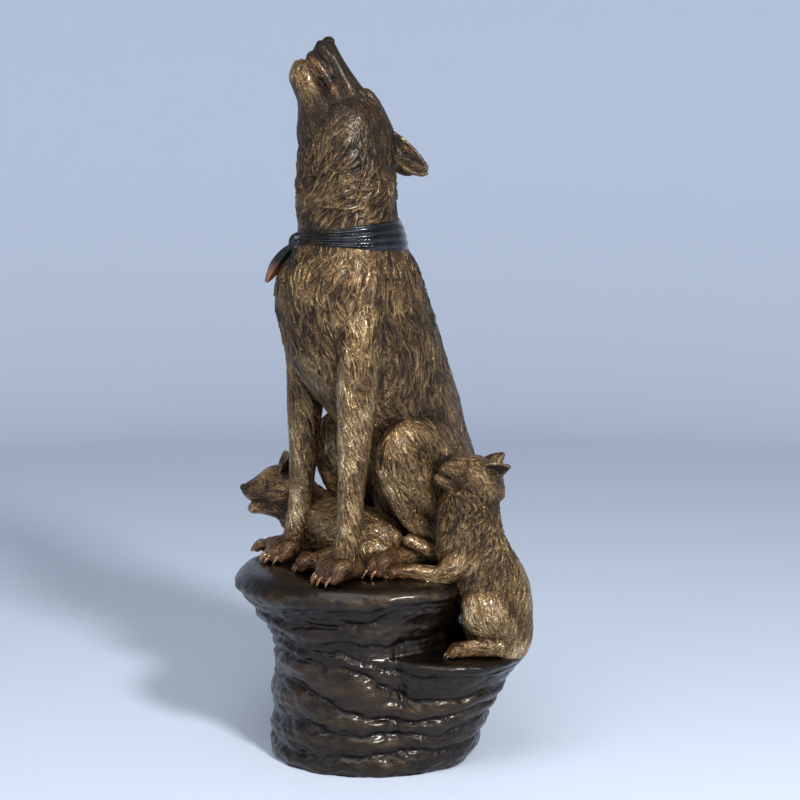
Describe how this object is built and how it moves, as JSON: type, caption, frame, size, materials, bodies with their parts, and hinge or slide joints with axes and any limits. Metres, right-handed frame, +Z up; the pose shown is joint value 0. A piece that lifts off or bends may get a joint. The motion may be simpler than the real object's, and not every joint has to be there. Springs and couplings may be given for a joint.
{
  "type": "wolf figurine",
  "caption": "Cast bronze group of a howling wolf with a neckerchief, seated on a rock with a cub lying at its feet and a cub on a lower ledge.",
  "frame": {"origin": "centre of the rock's flat underside", "axes": "+Z up; -Y towards the display side; -X the side that the wolf's muzzle points to"},
  "size_m": [0.6294, 0.5302, 1.5087],
  "materials": {
    "patinated_bronze": "brown patina, rubbed golden on the high fur",
    "rock_bronze": "dark brown patina, waxed",
    "scarf_bronze": "black-green patina, waxed"
  },
  "bodies": {
    "root": {"wolf_figurine": "patinated_bronze"}
  },
  "joints": []
}
